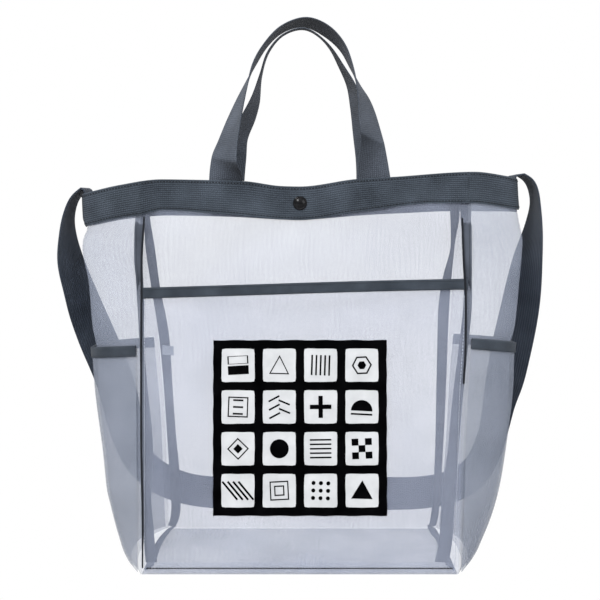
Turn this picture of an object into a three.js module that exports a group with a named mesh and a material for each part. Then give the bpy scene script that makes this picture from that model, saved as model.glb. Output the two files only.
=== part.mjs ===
// A mesh beach bag: a see-through tote with two webbing handles, a shoulder strap, three outside
// pockets and a snap at the mouth, which is fastened.
//
// Millimetres. X runs to the right, Y to the back and Z up. The origin lies on the floor, under
// the middle of the base. Every sheet is a thin closed solid about its middle surface.

import * as THREE from 'three';

// Body.
const BASE_WIDTH = 348;
const BASE_DEPTH = 172;
const RIM_HEIGHT = 419; // at the snap
const RIM_LIFT = 8; // how much higher the rim stands outside the handles
const RIM_LIFT_REACH = 120;
const BAND_HEIGHT = 38;
const SEAM_DEPTH_AT_RIM = 39; // from the middle plane to a seam, at the mouth
const SNAP_HALF_GAP = 3.4; // from the middle plane to each wall, at the snap
const GUSSET_BULGE = 70; // how far a gusset stands out beyond the seams at the mouth
const CORNER_GAP = 0.8;
const FOOT_GAP = 1.3; // from the floor to the lower edge of the upright sheets

// Thicknesses.
const MESH = 0.8;
const WEBBING = 1.4;
const TAPE = 1.6; // seam tape, folded over the edges it binds
const BINDING = 0.7; // one flap of a pocket binding
const PRINT = 0.4;

// Distances of layers from the middle of the mesh.
const BAND_OFFSET = 2.2;
const HANDLE_END_OFFSET = -1.7;
const POCKET_OFFSET = 2.4;
const STRAP_END_OFFSET = -2.1;
const STRAP_OVER_OFFSET = 4.6;

// Pockets.
const FRONT_POCKET_HEIGHT = 314;
const SIDE_POCKET_HEIGHT = 236;
const SIDE_POCKET_SLACK = 11; // how far a side pocket's mouth stands away from the gusset
const BINDING_HEIGHT = 11;
const BINDING_HALF_GAP = 1.2;
const PRINT_SIZE = 188;
const PRINT_FOOT = 64;

// Handles and shoulder strap.
const HANDLE_WIDTH = 38;
const HANDLE_SPREAD = 82.5; // from the middle to the middle of a handle's leg, at the rim
const STRAP_WIDTH = 50;
const STRAP_THICKNESS = 2;

// Seam tapes, run along the inside corners.
const TAPE_START = 3;
const TAPE_REACH = 11.5;

const HALF_WIDTH = BASE_WIDTH / 2;
const HALF_DEPTH = BASE_DEPTH / 2;
const BAND_FOOT = RIM_HEIGHT - BAND_HEIGHT;
const CORNER_X = HALF_WIDTH + CORNER_GAP;
const WALL_EDGE = HALF_WIDTH - CORNER_GAP;
const WALL_COLUMNS = 20;
const HALF_GUSSET_COLUMNS = 8;
const BAND_COLUMNS = WALL_COLUMNS + 2 * HALF_GUSSET_COLUMNS;
const FRONT = -1;
const BACK = 1;
const LEFT = -1;
const RIGHT = 1;

const { lerp, clamp } = THREE.MathUtils;

const bag = new THREE.Group();

function fabric(colour, roughness) {
  return new THREE.MeshStandardMaterial({ color: colour, roughness, metalness: 0 });
}

const materials = {
  mesh: () => fabric(0xc9ced8, 0.6),
  webbing: () => fabric(0x454b56, 0.75),
  tape: () => fabric(0x3f444e, 0.8),
  gloss: () => fabric(0x08080a, 0.15),
  black: () => fabric(0x0b0b0c, 0.5),
  label: () => fabric(0xb9bdc5, 0.7),
};

function add(name, geometry, material) {
  const mesh = new THREE.Mesh(geometry, materials[material]());
  mesh.name = name;
  bag.add(mesh);
  return mesh;
}

// ---------------------------------------------------------------- sheets

// The unit normal of a surface at (u, v), from the directions along u and v.
function sheetNormal(surface, u, v) {
  const step = 0.004;
  const low = Math.max(0, u - step);
  const high = Math.min(1, u + step);
  const down = Math.max(0, v - step);
  const up = Math.min(1, v + step);
  const alongU = surface(high, v).sub(surface(low, v));
  const alongV = surface(u, up).sub(surface(u, down));
  return alongU.cross(alongV).normalize();
}

// A closed sheet of the given thickness about surface(u, v), with u and v from 0 to 1. The
// thickness is a number, or a function of (u, v).
function wrapSheet(surface, thickness, columns, rows) {
  const geometry = new THREE.BoxGeometry(1, 1, 1, columns, rows, 1);
  const places = geometry.attributes.position;
  for (let i = 0; i < places.count; i += 1) {
    const u = clamp(places.getX(i) + 0.5, 0, 1);
    const v = clamp(places.getY(i) + 0.5, 0, 1);
    const depth = typeof thickness === 'function' ? thickness(u, v) : thickness;
    const normal = sheetNormal(surface, u, v);
    const point = surface(u, v).addScaledVector(normal, places.getZ(i) * depth);
    places.setXYZ(i, point.x, point.y, point.z);
  }
  geometry.computeVertexNormals();
  return geometry;
}

// ---------------------------------------------------------------- the shape of the body

// How far up its lean a wall is at height z: 0 at the floor, 1 all over the mouth band.
function leanAt(z) {
  return Math.min(1, z / BAND_FOOT);
}

// From the middle plane to a corner seam.
function seamDepth(lean) {
  return lerp(HALF_DEPTH, SEAM_DEPTH_AT_RIM, lean);
}

// From the middle plane to the front or back wall at x. The snap draws the walls together.
function wallDepth(x, lean) {
  const draw = SEAM_DEPTH_AT_RIM - SNAP_HALF_GAP;
  return seamDepth(lean) - draw * lean ** 2 * (1 - Math.abs(x / HALF_WIDTH) ** 1.5);
}

function rimAt(x) {
  const share = Math.min(1, Math.abs(x) / RIM_LIFT_REACH);
  return RIM_HEIGHT + RIM_LIFT * (1 - Math.cos(Math.PI * share)) / 2;
}

// The distance of a gusset from the middle, at a share v across it from -1 (front) to 1 (back).
function gussetReach(v, lean) {
  const fullness = 2.2 + 1.8 * lean ** 3;
  const bulge = GUSSET_BULGE * Math.max(0, lean) ** 0.3;
  return CORNER_X + bulge * (1 - Math.abs(v) ** fullness);
}

function gussetRim(v) {
  return RIM_HEIGHT + RIM_LIFT * v ** 2;
}

// Shares across a gusset that lie closer together towards its seams, where it turns fastest.
function spread(share) {
  return Math.sin(Math.PI * share / 2);
}

// Heights of a sheet's rows: the last fifth of them lies in the mouth band.
function rowHeight(share, top, power) {
  const inBand = 0.8;
  if (share <= inBand) {
    return FOOT_GAP + (BAND_FOOT - FOOT_GAP) * (share / inBand) ** power;
  }
  return lerp(BAND_FOOT, top, (share - inBand) / (1 - inBand));
}

// A point on the front or back wall, at an offset outwards from it.
function wallPoint(side, x, z, offset = 0) {
  return new THREE.Vector3(x, side * (wallDepth(x, leanAt(z)) + offset), z);
}

// A point on a gusset, at an offset outwards. v runs from -1 (front seam) to 1 (back seam).
function gussetPoint(side, v, z, offset = 0) {
  const lean = leanAt(z);
  const plan = (share) => new THREE.Vector2(gussetReach(share, lean), seamDepth(lean) * share);
  const step = 0.03;
  const along = plan(Math.min(1, v + step)).sub(plan(Math.max(-1, v - step))).normalize();
  const place = plan(v).add(new THREE.Vector2(along.y, -along.x).multiplyScalar(offset));
  return new THREE.Vector3(side * place.x, place.y, z);
}

// ---------------------------------------------------------------- body sheets

function buildBase() {
  const width = 2 * (HALF_WIDTH - 1);
  const depth = 2 * (HALF_DEPTH - 1);
  const base = add('base_panel', new THREE.BoxGeometry(width, depth, MESH), 'mesh');
  base.position.z = MESH / 2;
}

function buildWall(side, name) {
  const surface = (u, v) => {
    const x = -side * WALL_EDGE * (2 * u - 1);
    return wallPoint(side, x, rowHeight(v, rimAt(x) - 0.5, 1));
  };
  add(name, wrapSheet(surface, MESH, WALL_COLUMNS, 10), 'mesh');
}

function buildGusset(side, name) {
  const surface = (u, v) => {
    const across = side * spread(2 * u - 1);
    return gussetPoint(side, across, rowHeight(v, gussetRim(across) - 0.5, 2.2));
  };
  add(name, wrapSheet(surface, MESH, 2 * HALF_GUSSET_COLUMNS, 10), 'mesh');
}

// ---------------------------------------------------------------- mouth bands

// A point on the outside of one half of the mouth, from the left side centre (u = 0) to the
// right one (u = 1).
function bandPoint(side, u, v, offset) {
  const gussetShare = HALF_GUSSET_COLUMNS / BAND_COLUMNS;
  const endShare = 0.02; // stops short of the other band
  if (u < gussetShare - 1e-6 || u > 1 - gussetShare + 1e-6) {
    const left = u < 0.5;
    const share = (left ? u : 1 - u) / gussetShare;
    const across = side * spread(Math.max(endShare, share));
    const z = lerp(BAND_FOOT, gussetRim(across), v);
    return gussetPoint(left ? LEFT : RIGHT, across, z, offset);
  }
  const x = lerp(-WALL_EDGE, WALL_EDGE, (u - gussetShare) / (1 - 2 * gussetShare));
  return wallPoint(side, x, lerp(BAND_FOOT, rimAt(x), v), offset);
}

function buildBand(side, name) {
  const surface = (u, v) => bandPoint(side, side === FRONT ? u : 1 - u, v, BAND_OFFSET);
  add(name, wrapSheet(surface, WEBBING, BAND_COLUMNS, 1), 'webbing');
}

// ---------------------------------------------------------------- seam tapes

// The folded tape of one upright seam: a strip in the corner between a wall and a gusset.
function buildUprightTape(side, end, name) {
  const middle = (TAPE_START + TAPE_REACH) / 2;
  const half = (TAPE_REACH - TAPE_START) / 2;
  const foot = 14;
  const surface = (u, v) => {
    const z = lerp(foot, RIM_HEIGHT - 1, v);
    const inset = middle + half * (2 * u - 1) * side * end;
    return new THREE.Vector3(side * (HALF_WIDTH - inset), end * (seamDepth(leanAt(z)) - inset), z);
  };
  add(name, wrapSheet(surface, TAPE, 1, 9), 'tape');
}

// The same tape along the side edge of the base.
function buildBaseTape(side, name) {
  const reach = HALF_DEPTH - TAPE_REACH - 4;
  const surface = (u, v) => {
    const inset = lerp(TAPE_START, TAPE_REACH, v);
    return new THREE.Vector3(side * (HALF_WIDTH - inset), side * reach * (2 * u - 1), inset);
  };
  add(name, wrapSheet(surface, TAPE, 4, 1), 'tape');
}

// ---------------------------------------------------------------- pockets

function frontPocketPoint(x, z, offset) {
  return new THREE.Vector3(x, -(seamDepth(leanAt(z)) + POCKET_OFFSET + offset), z);
}

function buildFrontPocket() {
  const halfWidth = HALF_WIDTH - 1.5;
  const sheet = (u, v) => {
    const z = lerp(FOOT_GAP, FRONT_POCKET_HEIGHT, v);
    return frontPocketPoint(halfWidth * (2 * u - 1), z, 0);
  };
  add('front_pocket', wrapSheet(sheet, MESH, 4, 4), 'mesh');

  const print = (u, v) => {
    const z = PRINT_FOOT + PRINT_SIZE * v;
    return frontPocketPoint(PRINT_SIZE * (u - 0.5), z, MESH / 2 + 0.3 + PRINT / 2);
  };
  add('print_patch', wrapSheet(print, PRINT, 4, 4), 'black');

  const binding = (u, v) => {
    const fold = bindingFold(v);
    return frontPocketPoint(halfWidth * (2 * u - 1), FRONT_POCKET_HEIGHT + fold.rise, fold.out);
  };
  add('front_pocket_binding', wrapSheet(binding, BINDING, 4, 10), 'tape');
}

// The section of a binding folded over a pocket's edge: down the inside, over, down the outside.
function bindingFold(share) {
  const flap = 0.3; // the share of the section in each flap
  const depth = BINDING_HEIGHT - 1;
  if (share < flap) {
    return { out: BINDING_HALF_GAP, rise: -depth * (1 - share / flap) };
  }
  if (share > 1 - flap) {
    return { out: -BINDING_HALF_GAP, rise: -depth * (share - 1 + flap) / flap };
  }
  const angle = Math.PI * (share - flap) / (1 - 2 * flap);
  return { out: BINDING_HALF_GAP * Math.cos(angle), rise: BINDING_HALF_GAP * Math.sin(angle) };
}

function sidePocketPoint(side, across, z, offset) {
  const rise = clamp(z / SIDE_POCKET_HEIGHT, 0, 1);
  const slack = SIDE_POCKET_SLACK * rise ** 2 * (1 - across ** 2);
  return gussetPoint(side, across, z, POCKET_OFFSET + slack + offset);
}

function buildSidePocket(side, sheetName, bindingName) {
  const edge = 0.96; // stops short of the seams
  const foot = 8;
  const sheet = (u, v) => {
    const z = foot + (SIDE_POCKET_HEIGHT - foot) * v ** 1.4;
    return sidePocketPoint(side, side * edge * spread(2 * u - 1), z, 0);
  };
  add(sheetName, wrapSheet(sheet, MESH, 2 * HALF_GUSSET_COLUMNS, 9), 'mesh');

  const binding = (u, v) => {
    const fold = bindingFold(v);
    const z = SIDE_POCKET_HEIGHT + fold.rise;
    return sidePocketPoint(side, side * edge * spread(2 * u - 1), z, fold.out);
  };
  add(bindingName, wrapSheet(binding, BINDING, 2 * HALF_GUSSET_COLUMNS, 10), 'tape');
}

// ---------------------------------------------------------------- handles

// The right half of a handle, from the rim to the top. Each stop gives the webbing's outer edge
// and its inner edge, as x, the distance from the middle of the bag, and z. The webbing makes a
// quarter turn on the way up, and lies flat across the hand at the top.
const handleStops = [
  [[101, 13, 429], [63, 13, 429]],
  [[99.5, 11, 437], [64, 19, 436]],
  [[97, 7, 450], [66.5, 27.5, 447]],
  [[92, 4.5, 467], [66.5, 33, 465]],
  [[85.5, 3.5, 487], [65, 36, 482]],
  [[75, 3, 511], [62.5, 38, 503]],
  [[66.5, 2.6, 527], [60, 39, 518]],
  [[58, 2.6, 543], [57, 39.5, 537]],
  [[50, 2.6, 557], [51.5, 40, 553]],
  [[38, 2.6, 574], [41.5, 40, 572]],
  [[27, 2.6, 584.5], [30, 40, 586]],
  [[13, 2.6, 592], [14, 40, 595]],
];
const handleMiddle = [[0, 2.6, 594.5], [0, 40, 598]];

function handleEdge(side, edge) {
  const place = (stop, end) => {
    const [x, y, z] = stop[edge];
    return new THREE.Vector3(end * x, side * y, z);
  };
  const left = handleStops.map((stop) => place(stop, LEFT));
  const right = handleStops.map((stop) => place(stop, RIGHT)).reverse();
  return new THREE.CatmullRomCurve3([...left, place(handleMiddle, RIGHT), ...right]);
}

function buildHandle(side, name) {
  const outer = handleEdge(side, 0);
  const inner = handleEdge(side, 1);
  const surface = (u, v) => outer.getPoint(u).lerp(inner.getPoint(u), v);
  add(name, wrapSheet(surface, WEBBING, 48, 2), 'webbing');
}

// The two ends of a handle, sewn to the inside of the wall behind the band.
function buildHandleEnds(side, wallName) {
  for (const [end, endName] of [[LEFT, 'left'], [RIGHT, 'right']]) {
    const surface = (u, v) => {
      const x = end * HANDLE_SPREAD - side * HANDLE_WIDTH * (u - 0.5);
      return wallPoint(side, x, lerp(BAND_FOOT + 2, RIM_HEIGHT + 2, v), HANDLE_END_OFFSET);
    };
    add(`${wallName}_handle_${endName}_end`, wrapSheet(surface, WEBBING, 4, 1), 'webbing');
  }
}

// ---------------------------------------------------------------- shoulder strap

// The strap hangs from the side centres and passes behind the bag. Each stop on its left half
// is a place and the direction across the webbing there.
const strapStops = [
  { place: [-252, 0, 428], across: [0, 1, 0] },
  { place: [-262, 3, 395], across: [0.1, 1, 0] },
  { place: [-268, 10, 345], across: [0.25, 0.95, 0.1] },
  { place: [-262, 26, 285], across: [0.35, 0.88, 0.2] },
  { place: [-247, 46, 230], across: [0.4, 0.78, 0.33] },
  { place: [-230, 64, 180], across: [0.47, 0.6, 0.45] },
  { place: [-212, 78, 130], across: [0.6, 0.35, 0.6] },
  { place: [-188, 87, 90], across: [0.65, 0.05, 0.72] },
  { place: [-150, 91, 62], across: [0.45, -0.08, 0.9] },
  { place: [-95, 92, 47], across: [0.12, -0.11, 1] },
];
const strapMiddle = { place: [0, 93, 44], across: [0, -0.11, 1] };

function mirrored([x, y, z]) {
  return new THREE.Vector3(-x, y, z);
}

function buildShoulderStrap() {
  const wholeCurve = (key) => {
    const left = strapStops.map((stop) => new THREE.Vector3(...stop[key]));
    const right = strapStops.map((stop) => mirrored(stop[key])).reverse();
    return new THREE.CatmullRomCurve3([...left, new THREE.Vector3(...strapMiddle[key]), ...right]);
  };
  const route = wholeCurve('place');
  const turn = wholeCurve('across');
  const surface = (u, v) => {
    const across = turn.getPoint(u).normalize();
    return route.getPoint(u).addScaledVector(across, STRAP_WIDTH * (v - 0.5));
  };
  add('shoulder_strap', wrapSheet(surface, STRAP_THICKNESS, 60, 1), 'webbing');
}

// A sewn end of the strap: up the inside of the gusset and over the rim.
function buildStrapEnd(side, name) {
  const rim = RIM_HEIGHT + 3.5;
  const inside = 0.4; // the share of the length that lies against the gusset
  const surface = (u, v) => {
    const y = side * STRAP_WIDTH * (u - 0.5);
    const across = y / SEAM_DEPTH_AT_RIM;
    if (v < inside) {
      return gussetPoint(side, across, lerp(BAND_FOOT + 2, rim, v / inside), STRAP_END_OFFSET);
    }
    const angle = Math.PI * (v - inside) / (1 - inside);
    const radius = (STRAP_OVER_OFFSET - STRAP_END_OFFSET) / 2;
    const offset = STRAP_END_OFFSET + radius * (1 - Math.cos(angle));
    const place = gussetPoint(side, across, rim, offset);
    place.z += radius * Math.sin(angle) + RIM_LIFT * across ** 2;
    return place;
  };
  add(name, wrapSheet(surface, 1.6, 6, 10), 'webbing');
}

// ---------------------------------------------------------------- snap and label

// A turned piece whose axis runs along Y, with profile points [radius, distance to the back].
function turned(name, profile, y, material) {
  const points = profile.map(([radius, along]) => new THREE.Vector2(radius, along));
  const piece = add(name, new THREE.LatheGeometry(points, 24), material);
  piece.position.set(0, y, RIM_HEIGHT - BAND_HEIGHT / 2);
  return piece;
}

function buildSnap() {
  const bandFace = SNAP_HALF_GAP + BAND_OFFSET + WEBBING / 2 + 1;
  const cap = [[0, 0], [7.5, 0], [7.6, 0.8], [6.2, 2.1], [3.4, 2.9], [0, 3.1]];
  const front = turned('snap_cap_front', cap, -bandFace, 'gloss');
  front.rotation.z = Math.PI;
  turned('snap_cap_back', cap, bandFace, 'gloss');

  const socketFace = SNAP_HALF_GAP - MESH / 2 - 0.3;
  const socket = [[3, 0], [5.6, 0], [6, 0.4], [6, 2.2], [3, 2.2], [3, 0]];
  turned('snap_socket', socket, -socketFace, 'gloss');

  const stud = [[0, -4.3], [2.2, -4.3], [2.5, -3.8], [2.4, -1.6], [6, -1.4], [6, 0], [0, 0]];
  turned('snap_stud', stud, socketFace, 'gloss');
}

function buildLabel() {
  const width = 12;
  const height = 11;
  const label = add('side_label', new THREE.BoxGeometry(width, 0.6, height), 'label');
  const z = 228;
  label.position.set(-(HALF_WIDTH - TAPE_REACH - width / 2 - 1), seamDepth(leanAt(z)) - 15, z);
}

// ---------------------------------------------------------------- assembly

buildBase();
buildWall(FRONT, 'front_panel');
buildWall(BACK, 'back_panel');
buildBand(FRONT, 'front_mouth_band');
buildBand(BACK, 'back_mouth_band');
buildFrontPocket();
for (const [side, sideName] of [[LEFT, 'left'], [RIGHT, 'right']]) {
  buildGusset(side, `${sideName}_gusset`);
  buildSidePocket(side, `${sideName}_pocket`, `${sideName}_pocket_binding`);
  buildUprightTape(side, FRONT, `front_${sideName}_seam_tape`);
  buildUprightTape(side, BACK, `back_${sideName}_seam_tape`);
  buildBaseTape(side, `base_${sideName}_seam_tape`);
  buildStrapEnd(side, `strap_${sideName}_end`);
}
buildHandle(FRONT, 'front_handle');
buildHandle(BACK, 'back_handle');
buildHandleEnds(FRONT, 'front');
buildHandleEnds(BACK, 'back');
buildShoulderStrap();
buildSnap();
buildLabel();

export default bag;
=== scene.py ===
import bpy
import math
import numpy as np
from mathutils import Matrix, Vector


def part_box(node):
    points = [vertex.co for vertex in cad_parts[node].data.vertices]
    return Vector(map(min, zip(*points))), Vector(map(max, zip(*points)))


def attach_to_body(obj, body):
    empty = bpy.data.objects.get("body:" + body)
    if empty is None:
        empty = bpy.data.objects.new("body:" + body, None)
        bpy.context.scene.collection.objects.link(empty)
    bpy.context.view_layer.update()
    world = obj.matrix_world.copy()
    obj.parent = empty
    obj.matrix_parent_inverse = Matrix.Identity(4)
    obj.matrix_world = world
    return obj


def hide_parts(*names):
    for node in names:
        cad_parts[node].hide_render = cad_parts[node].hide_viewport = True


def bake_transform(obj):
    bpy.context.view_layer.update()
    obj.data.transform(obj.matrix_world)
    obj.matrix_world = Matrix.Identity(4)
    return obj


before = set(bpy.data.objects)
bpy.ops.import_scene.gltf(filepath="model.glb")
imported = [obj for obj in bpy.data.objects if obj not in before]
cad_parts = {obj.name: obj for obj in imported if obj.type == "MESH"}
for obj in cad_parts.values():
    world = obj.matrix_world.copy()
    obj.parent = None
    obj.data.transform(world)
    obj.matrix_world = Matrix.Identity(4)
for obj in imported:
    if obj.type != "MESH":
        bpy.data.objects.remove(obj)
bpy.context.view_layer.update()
MM = 0.001

# ------------------------------------------------------------------ sizes of the bag, millimetres

HALF_DEPTH = 86.0
BAND_FOOT = 381.0
MOUTH = 400.0            # the height that fixes places along the mouth
SEAM_AT_RIM = 39.0       # depth of the side seams at the mouth
SNAP_GAP = 3.4           # half the gap between the walls at the snap
SNAP_HEIGHT = 400.0
NET = 0.5                # thickness of the net
GROUND_GAP = 1.3         # how high the net starts above the floor
POCKET_GAP = 2.6         # from a wall to the pocket on it
HALF_HANDLE = 19.0       # half the width of a handle's webbing
HANDLE_LEG = 82.5        # from the middle to the middle of a handle's leg at the rim
PRINT_SIZE = 188.0
PRINT_FOOT = 64.0
FRONT, BACK = -1, 1
LEFT, RIGHT = -1, 1

# ------------------------------------------------------------------ camera, light and floor

camera_data = bpy.data.cameras.new("camera")
camera_data.lens = 66.4
camera_data.sensor_width = 36.0
camera_data.clip_end = 60
camera = bpy.data.objects.new("camera", camera_data)
camera.location = (0, -1.25, 0.400)
camera.rotation_euler = (math.radians(85), 0, 0)
bpy.context.collection.objects.link(camera)
scene = bpy.context.scene
scene.camera = camera
scene.view_settings.view_transform = "Standard"
scene.cycles.transparent_max_bounces = 64


def area_light(name, place, aim, size, power):
    data = bpy.data.lights.new(name, "AREA")
    data.shape = "SQUARE"
    data.size = size
    data.energy = power
    light = bpy.data.objects.new(name, data)
    light.location = place
    light.rotation_euler = (Vector(aim) - Vector(place)).to_track_quat("-Z", "Y").to_euler()
    bpy.context.collection.objects.link(light)


area_light("key_light", (-1.3, -1.9, 2.1), (0, 0, 0.25), 1.0, 58)
area_light("fill_light", (1.8, -1.5, 1.0), (0, 0, 0.25), 1.6, 18)


def build_world():
    """A white backdrop for the camera, and a soft dome for the light, brightest overhead."""
    world = bpy.data.worlds.new("studio")
    scene.world = world
    world.use_nodes = True
    nodes, links = world.node_tree.nodes, world.node_tree.links
    nodes.clear()
    path = nodes.new("ShaderNodeLightPath")
    seen = nodes.new("ShaderNodeBackground")
    seen.inputs["Color"].default_value = (1, 1, 1, 1)
    seen.inputs["Strength"].default_value = 1.0
    lit = nodes.new("ShaderNodeBackground")
    lit.inputs["Color"].default_value = (0.97, 0.98, 1, 1)
    place = nodes.new("ShaderNodeTexCoord")
    split = nodes.new("ShaderNodeSeparateXYZ")
    rise = nodes.new("ShaderNodeMapRange")
    for key, value in ((1, 0.0), (2, 1.0), (3, 0.50), (4, 1.55)):
        rise.inputs[key].default_value = value
    links.new(place.outputs["Generated"], split.inputs[0])
    links.new(split.outputs["Z"], rise.inputs[0])
    links.new(rise.outputs[0], lit.inputs["Strength"])
    mix = nodes.new("ShaderNodeMixShader")
    out = nodes.new("ShaderNodeOutputWorld")
    links.new(path.outputs["Is Camera Ray"], mix.inputs["Fac"])
    links.new(lit.outputs[0], mix.inputs[1])
    links.new(seen.outputs[0], mix.inputs[2])
    links.new(mix.outputs[0], out.inputs["Surface"])


build_world()

# ------------------------------------------------------------------ node helpers


class Shade:
    """A material's node tree, with short calls for the nodes that the fabrics use."""

    def __init__(self, name, roughness=0.8, specular=0.3, sheen=0.0):
        self.material = bpy.data.materials.new(name)
        self.material.use_nodes = True
        self.tree = self.material.node_tree
        self.shader = self.tree.nodes["Principled BSDF"]
        self.shader.inputs["Roughness"].default_value = roughness
        self.shader.inputs["Specular IOR Level"].default_value = specular
        self.shader.inputs["Sheen Weight"].default_value = sheen

    def node(self, kind, inputs=(), **settings):
        made = self.tree.nodes.new("ShaderNode" + kind)
        for key, value in settings.items():
            setattr(made, key, value)
        for socket, value in dict(inputs).items():
            self.feed(made.inputs[socket], value)
        return made

    def feed(self, socket, value):
        if isinstance(value, bpy.types.NodeSocket):
            self.tree.links.new(value, socket)
        else:
            socket.default_value = value

    def math(self, operation, a, b=0.0, clamp=False):
        return self.node("Math", {0: a, 1: b}, operation=operation, use_clamp=clamp).outputs[0]

    def spread(self, value, low, high, to_low, to_high):
        made = self.node("MapRange", {0: value, 1: low, 2: high, 3: to_low, 4: to_high})
        return made.outputs[0]

    def uv(self):
        """Millimetres along and across the cloth, as two sockets."""
        split = self.node("SeparateXYZ", {0: self.node("UVMap", uv_map="cloth").outputs[0]})
        return split.outputs[0], split.outputs[1]

    def noise(self, scale, detail=2.0, stretch=(1, 1, 1)):
        place = self.node("TexCoord").outputs["Object"]
        place = self.node("VectorMath", {0: place, 1: stretch}, operation="MULTIPLY").outputs[0]
        return self.node("TexNoise", {"Vector": place, "Scale": scale, "Detail": detail}).outputs[0]

    def ribs(self, along, pitch, shift=0.0):
        """Rounded ribs, from 0 between them to 1 on top."""
        turn = self.math("ADD", self.math("MULTIPLY", along, 2 * math.pi / pitch), shift)
        wave = self.math("SINE", turn)
        return self.math("ADD", self.math("MULTIPLY", wave, 0.5), 0.5)

    def colour(self, share, first, second):
        mix = self.node("Mix", {0: share, 6: (*first, 1), 7: (*second, 1)}, data_type="RGBA")
        self.feed(self.shader.inputs["Base Color"], mix.outputs[2])
        return mix.outputs[2]

    def bump(self, height, distance, strength=1.0):
        made = self.node("Bump", {"Height": height, "Distance": distance, "Strength": strength})
        self.feed(self.shader.inputs["Normal"], made.outputs[0])


def net_material(name, cover, first, second, pitch=1.3):
    """Fine woven net. cover is the share of light that one face of it stops."""
    shade = Shade(name, roughness=0.6, specular=0.12, sheen=0.0)
    along, across = shade.uv()
    warp = shade.ribs(along, pitch)
    weft = shade.ribs(across, pitch, 1.0)
    thread = shade.math("MAXIMUM", warp, weft)
    drift = shade.spread(shade.noise(7, 3), 0.35, 0.65, 0.84, 1.16)
    # Slow beats of the threads show as faint wavy bands.
    bend = shade.math("ADD", along, shade.spread(shade.noise(9, 2), 0.3, 0.7, -9.0, 9.0))
    beat = shade.spread(shade.ribs(bend, 5.2), 0, 1, 0.96, 1.04)
    drift = shade.math("MULTIPLY", drift, beat)
    solid = shade.spread(thread, 0.35, 0.95, 0.80 * cover, 1.15 * cover)
    shade.feed(shade.shader.inputs["Alpha"], shade.math("MULTIPLY", solid, drift, clamp=True))
    blotch = shade.spread(shade.noise(22, 3), 0.3, 0.7, 0.0, 1.0)
    shade.colour(blotch, first, second)
    shade.bump(shade.math("MULTIPLY", warp, weft), 0.0003, 0.5)
    return shade.material


def webbing_material(name, first, second, pitch=2.3, under=1.0):
    """Ribbed webbing: ribs along it, crossed by finer ones into a small waffle.

    under is how much of its colour a face turned to the ground keeps: painted shade, darker the more a
    face turns down."""
    shade = Shade(name, roughness=0.75, specular=0.15, sheen=0.08)
    along, across = shade.uv()
    rib = shade.ribs(across, pitch)
    cross = shade.ribs(along, pitch * 0.92)
    waffle = shade.math("MULTIPLY", shade.spread(rib, 0, 1, 0.15, 1), shade.spread(cross, 0, 1, 0.45, 1))
    fibre = shade.noise(900, 2)
    cloud = shade.spread(shade.noise(30, 4), 0.3, 0.7, 0.0, 0.35)
    share = shade.math("ADD", shade.math("MULTIPLY", waffle, 0.6), cloud)
    share = shade.math("ADD", share, shade.spread(fibre, 0.3, 0.7, -0.12, 0.12), clamp=True)
    colour = shade.colour(share, first, second)
    # Painted shade: faces turned to the ground have their colour scaled down towards under's share.
    if under < 1:
        facing = shade.node("SeparateXYZ", {0: shade.node("NewGeometry").outputs["Normal"]}).outputs[2]
        underside_painted_shade = shade.spread(facing, -0.9, 0.05, under, 1.0)
        painted_shade_colour = shade.node("VectorMath", {0: colour, "Scale": underside_painted_shade}, operation="SCALE").outputs[0]
        shade.feed(shade.shader.inputs["Base Color"], painted_shade_colour)
    rough = shade.spread(fibre, 0.3, 0.7, 0.62, 0.82)
    shade.feed(shade.shader.inputs["Roughness"], rough)
    height = shade.math("ADD", waffle, shade.math("MULTIPLY", fibre, 0.25))
    shade.bump(height, 0.0007, 0.9)
    return shade.material


def tape_material(name, first, second):
    """Fine grosgrain: narrow ribs straight across."""
    shade = Shade(name, roughness=0.78, specular=0.12, sheen=0.08)
    along, _ = shade.uv()
    rib = shade.ribs(along, 1.1)
    cloud = shade.spread(shade.noise(38, 4), 0.3, 0.7, 0.0, 0.6)
    share = shade.math("ADD", shade.math("MULTIPLY", rib, 0.4), cloud, clamp=True)
    shade.colour(share, first, second)
    shade.feed(shade.shader.inputs["Roughness"], shade.spread(shade.noise(500, 2), 0.3, 0.7, 0.66, 0.84))
    shade.bump(rib, 0.0003, 0.7)
    return shade.material


def thread_material(name, first, second):
    """Twisted sewing thread."""
    shade = Shade(name, roughness=0.6, specular=0.4)
    twist = shade.noise(2600, 1, (1, 1, 3))
    shade.colour(shade.spread(twist, 0.35, 0.65, 0, 1), first, second)
    shade.bump(twist, 0.0001, 0.6)
    return shade.material


def ink_material(name, first, second, roughness):
    """Screen-printed ink on net: faintly patchy, with the net's grain showing in it."""
    shade = Shade(name, roughness=roughness, specular=0.0)
    patch = shade.spread(shade.noise(60, 4), 0.3, 0.7, 0, 1)
    shade.colour(patch, first, second)
    along, across = shade.uv()
    grain = shade.math("MULTIPLY", shade.ribs(along, 1.3), shade.ribs(across, 1.3, 1.0))
    shade.bump(grain, 0.0002, 0.5)
    return shade.material


def lacquer_material(name):
    """Black glossy lacquer with fine wear."""
    shade = Shade(name, roughness=0.16, specular=0.16)
    wear = shade.noise(240, 4)
    shade.colour(shade.spread(wear, 0.45, 0.75, 0, 1), (0.004, 0.004, 0.005), (0.014, 0.014, 0.016))
    shade.feed(shade.shader.inputs["Roughness"], shade.spread(wear, 0.35, 0.7, 0.12, 0.28))
    shade.shader.inputs["Coat Weight"].default_value = 0.05
    shade.shader.inputs["Coat Roughness"].default_value = 0.08
    shade.bump(wear, 0.00005, 0.3)
    return shade.material


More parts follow.
